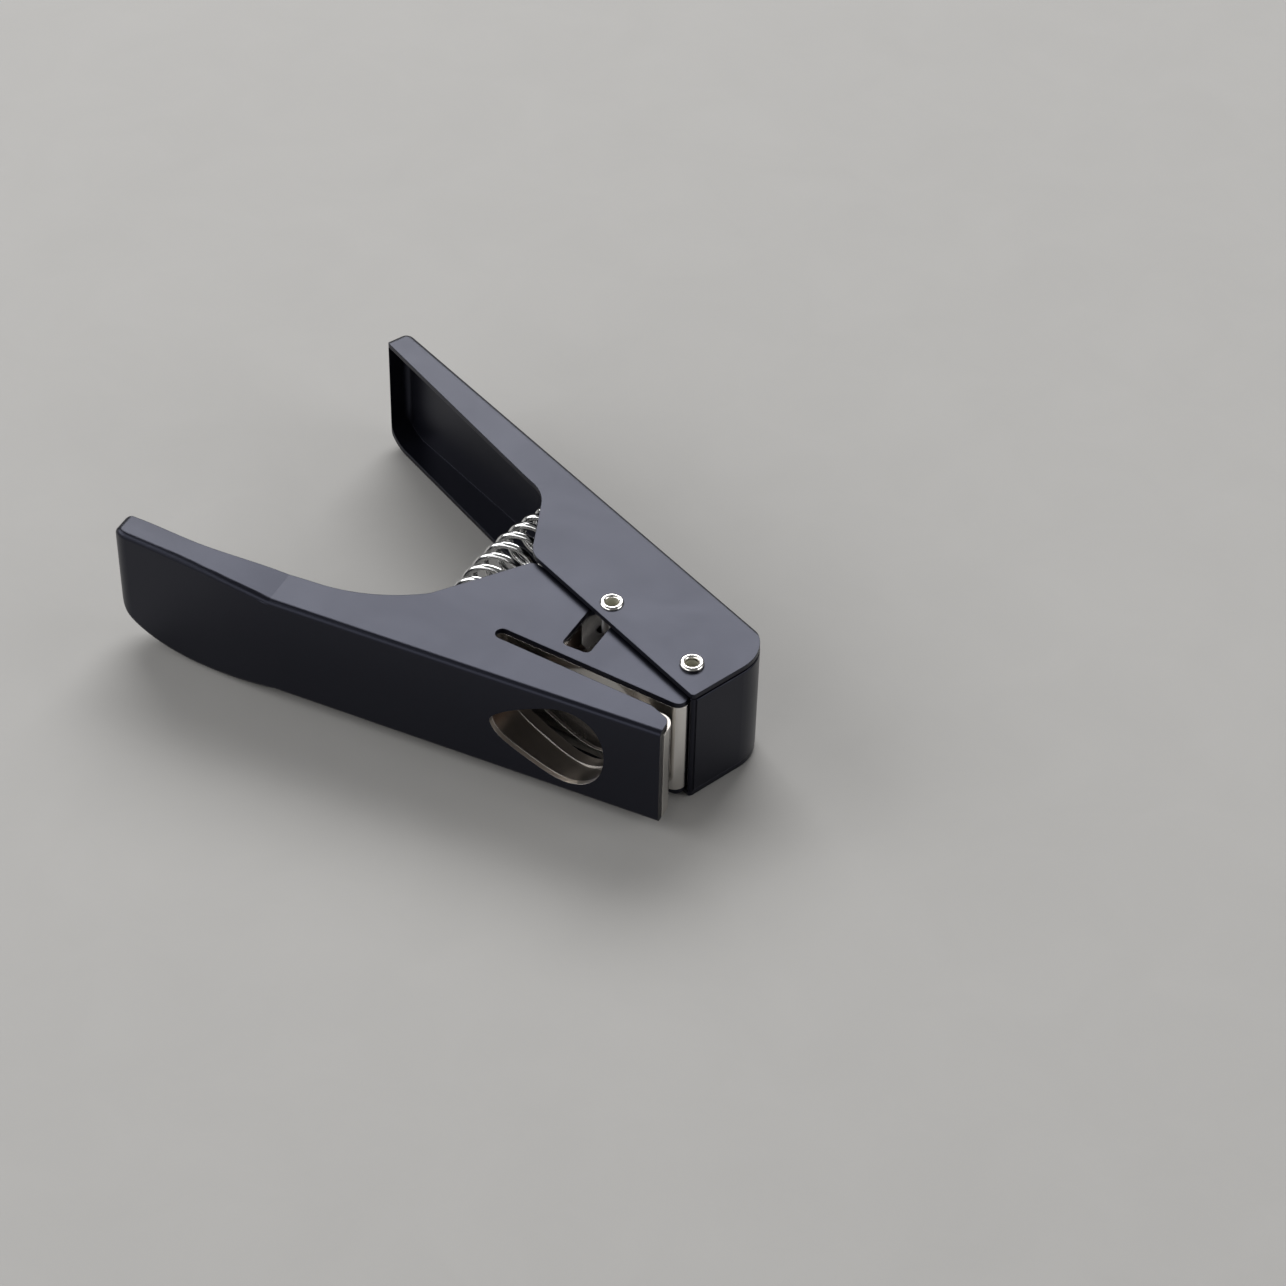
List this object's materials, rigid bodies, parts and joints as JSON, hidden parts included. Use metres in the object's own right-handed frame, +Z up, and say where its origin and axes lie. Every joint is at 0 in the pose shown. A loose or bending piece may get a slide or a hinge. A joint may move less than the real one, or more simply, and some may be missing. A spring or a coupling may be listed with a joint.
{
  "type": "guitar pick punch",
  "caption": "Hand-squeezed punch that cuts guitar picks from sheet: two pressed handles, a die set with a feed slot, a barrel return spring and rivet pivots.",
  "frame": {"origin": "on the pivot's axis, in the plane of the lower rivet heads that the tool lies on", "axes": "+Z up along the pivot's axis, +X along the die side handle toward the jaw, +Y from the die side handle to the lever"},
  "size_m": [0.1679, 0.1117, 0.0366],
  "materials": {
    "black_paint": "satin black paint",
    "nickel_plate": "nickel plated steel, ground",
    "bright_rivet": "bright nickel",
    "spring_steel": "bright drawn wire",
    "tool_steel": "ground tool steel",
    "zinc_steel": "zinc plated",
    "dark_screw": "black oxide"
  },
  "bodies": {
    "frame": {"body_shell": "black_paint", "die_block": "nickel_plate", "guide_block": "nickel_plate", "slot_stop": "nickel_plate", "pivot_rivet": "bright_rivet", "return_spring": "spring_steel", "block_screws": "dark_screw", "block_dowels": "tool_steel", "pivot_sleeve": "zinc_steel", "pivot_washer_top": "zinc_steel", "pivot_washer_bottom": "zinc_steel", "body_spring_post": "zinc_steel"},
    "lever": {"lever_shell": "black_paint", "drive_rivet": "bright_rivet", "drive_sleeve": "tool_steel", "drive_washer_top": "zinc_steel", "drive_washer_bottom": "zinc_steel", "lever_spring_post": "zinc_steel"},
    "ram": {"punch": "tool_steel"}
  },
  "joints": [
    {"name": "lever_pivot", "type": "hinge", "parent": "frame", "child": "lever", "pos_m": [0, 0, 0.01805], "axis": [0, 0, 1], "range_deg": [0, 25], "stiffness_Nm_per_rad": 9, "springref_deg": -6.88, "deforming": ["return_spring"]},
    {"name": "punch_slide", "type": "slide", "parent": "frame", "child": "ram", "axis": [-0.1184, -0.993, 0], "range_m": [0, 0.013]}
  ],
  "couplings": [
    {"joint": "punch_slide", "follows": "lever_pivot", "m_per_rad": 0.02972}
  ]
}
